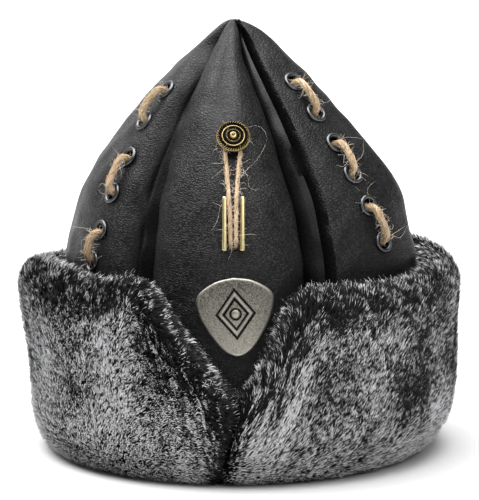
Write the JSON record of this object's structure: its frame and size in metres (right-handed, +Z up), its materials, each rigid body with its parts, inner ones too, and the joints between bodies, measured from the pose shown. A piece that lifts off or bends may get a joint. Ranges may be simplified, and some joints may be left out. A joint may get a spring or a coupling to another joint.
{
  "type": "bork hat",
  "caption": "Pointed leather cap of sewn gores inside a turned-up fur cuff notched at the front, with laced eyelets, a button, a toggle on a cord and a shield-shaped badge.",
  "frame": {"origin": "centre of the whole hat's box from above, on the plane of the rim that it stands on", "axes": "+Z up through the peak, -Y to the front where the cuff is notched, +X to the right as seen from the front"},
  "size_m": [0.231, 0.2533, 0.2252],
  "materials": {
    "black_leather": "crinkled grain, semi-matte",
    "frosted_fur": "deep pile, dark at the roots and pale grey at the tips",
    "jute": "twisted natural fibre, matt",
    "gunmetal": "dark plated, satin",
    "antique_brass": "antiqued, dark in the recesses",
    "brass": "pale, drawn",
    "antique_silver": "cast, antiqued, finely pitted"
  },
  "bodies": {
    "root": {"crown_front_gore": "black_leather", "crown_right_gore": "black_leather", "crown_back_gore": "black_leather", "crown_left_gore": "black_leather", "cuff_facing": "black_leather", "fur_cuff": "frosted_fur", "eyelet_left_1": "gunmetal", "eyelet_left_2": "gunmetal", "eyelet_left_3": "gunmetal", "eyelet_left_4": "gunmetal", "eyelet_left_5": "gunmetal", "eyelet_left_6": "gunmetal", "eyelet_right_1": "gunmetal", "eyelet_right_2": "gunmetal", "eyelet_right_3": "gunmetal", "eyelet_right_4": "gunmetal", "eyelet_right_5": "gunmetal", "eyelet_right_6": "gunmetal", "lace_left": "jute", "lace_right": "jute", "button": "antique_brass", "button_loop": "jute", "toggle": "brass", "badge": "antique_silver"}
  },
  "joints": []
}
